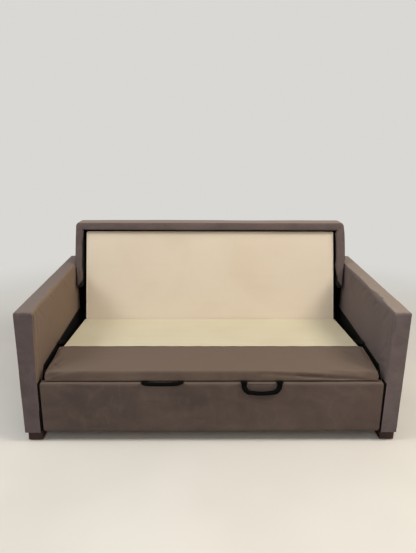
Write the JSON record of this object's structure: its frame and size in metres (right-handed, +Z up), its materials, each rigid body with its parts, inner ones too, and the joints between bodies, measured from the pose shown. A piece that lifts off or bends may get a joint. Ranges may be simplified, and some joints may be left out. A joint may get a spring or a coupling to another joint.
{
  "type": "sleeper sofa",
  "caption": "Queen sleeper sofa with thin track arms, loose cushions off: a padded seat deck and leaning mattress panel that unfold forward into a flat bed.",
  "frame": {"origin": "on the floor under the middle of the whole object, the raised pull loop included", "axes": "+X along the sofa to the sitter's left hand, seen from the front to the right; +Y from the front to the back; +Z up"},
  "size_m": [1.81, 1.147, 0.915],
  "materials": {
    "upholstery": "brushed taupe velvet",
    "dark_lining": "black lining cloth",
    "frame_wood": "sawn softwood",
    "plywood": "plain plywood",
    "foot_wood": "dark brown stained wood",
    "nylon": "black nylon",
    "zinc_steel": "zinc plated",
    "black_steel": "black powder coat",
    "mattress_cloth": "cream woven ticking",
    "decking_cloth": "cream decking cloth",
    "black_webbing": "black webbing",
    "tip_rubber": "black rubber"
  },
  "bodies": {
    "sofa_frame": {"left_arm_cover": "upholstery", "right_arm_cover": "upholstery", "left_arm_frame": "frame_wood", "right_arm_frame": "frame_wood", "left_arm_lining": "dark_lining", "right_arm_lining": "dark_lining", "front_left_foot": "foot_wood", "rear_left_foot": "foot_wood", "front_right_foot": "foot_wood", "rear_right_foot": "foot_wood", "foot_glides": "nylon", "foot_bolts": "zinc_steel", "left_wing_cover": "upholstery", "right_wing_cover": "upholstery", "left_back_post": "frame_wood", "right_back_post": "frame_wood", "top_rail_cover": "upholstery", "top_rail": "frame_wood", "outside_back_board": "plywood", "outside_back_cover": "upholstery", "rear_base_rail": "frame_wood", "front_tie_bar": "black_steel", "left_tracks": "black_steel", "right_tracks": "black_steel"},
    "bed_base": {"left_side_plate": "black_steel", "right_side_plate": "black_steel", "base_cross_tubes": "black_steel", "base_platform": "plywood", "base_mattress": "mattress_cloth", "glide_shoes": "nylon", "hinge_pins": "zinc_steel"},
    "seat_deck": {"foot_mattress": "mattress_cloth", "foot_platform": "plywood", "left_deck_rail": "frame_wood", "right_deck_rail": "frame_wood", "deck_cross_rails": "frame_wood", "deck_webbing": "black_webbing", "rear_decking": "decking_cloth", "front_pad": "upholstery", "left_deck_hinge": "black_steel", "right_deck_hinge": "black_steel", "leg_brackets": "black_steel"},
    "head_section": {"head_mattress": "mattress_cloth", "head_platform": "plywood", "left_head_hinge": "black_steel", "right_head_hinge": "black_steel"},
    "front_rail": {"front_rail_cover": "upholstery", "front_rail_board": "plywood", "left_rail_hinge": "black_steel", "right_rail_hinge": "black_steel", "handle_anchors": "black_webbing"},
    "left_pull_loop": {"left_handle": "black_webbing"},
    "right_pull_loop": {"right_handle": "black_webbing"},
    "left_foot_leg": {"left_leg": "black_steel", "left_leg_tip": "tip_rubber"},
    "right_foot_leg": {"right_leg": "black_steel", "right_leg_tip": "tip_rubber"}
  },
  "joints": [
    {"name": "bed_slide", "type": "slide", "parent": "sofa_frame", "child": "bed_base", "axis": [0, -0.9231, 0.3846], "range_m": [0, 0.65]},
    {"name": "deck_fold", "type": "hinge", "parent": "bed_base", "child": "seat_deck", "pos_m": [0, -0.45847, 0.21], "axis": [1, 0, 0], "range_deg": [0, 180]},
    {"name": "head_fold", "type": "hinge", "parent": "bed_base", "child": "head_section", "pos_m": [0, 0.23753, 0.21], "axis": [-1, 0, 0], "range_deg": [0, 73.4]},
    {"name": "rail_fold", "type": "hinge", "parent": "bed_base", "child": "front_rail", "pos_m": [0, -0.41047, 0.072], "axis": [1, 0, 0], "range_deg": [0, 180]},
    {"name": "left_leg_fold", "type": "hinge", "parent": "seat_deck", "child": "left_foot_leg", "pos_m": [-0.779, 0.15353, 0.3183], "axis": [-1, 0, 0], "range_deg": [0, 90]},
    {"name": "right_leg_fold", "type": "hinge", "parent": "seat_deck", "child": "right_foot_leg", "pos_m": [0.779, 0.15353, 0.3183], "axis": [-1, 0, 0], "range_deg": [0, 90]},
    {"name": "left_loop_swing", "type": "hinge", "parent": "front_rail", "child": "left_pull_loop", "pos_m": [-0.235, -0.51147, 0.327], "axis": [-1, 0, 0], "range_deg": [-106, 10]},
    {"name": "right_loop_swing", "type": "hinge", "parent": "front_rail", "child": "right_pull_loop", "pos_m": [0.235, -0.51147, 0.327], "axis": [-1, 0, 0], "range_deg": [0, 90]}
  ],
  "couplings": [
    {"joint": "deck_fold", "follows": "bed_slide", "rad_per_m": 4.8332},
    {"joint": "rail_fold", "follows": "bed_slide", "rad_per_m": 4.8332},
    {"joint": "head_fold", "follows": "bed_slide", "rad_per_m": 1.9709},
    {"joint": "left_leg_fold", "follows": "bed_slide", "rad_per_m": 2.4166},
    {"joint": "right_leg_fold", "follows": "bed_slide", "rad_per_m": 2.4166}
  ]
}
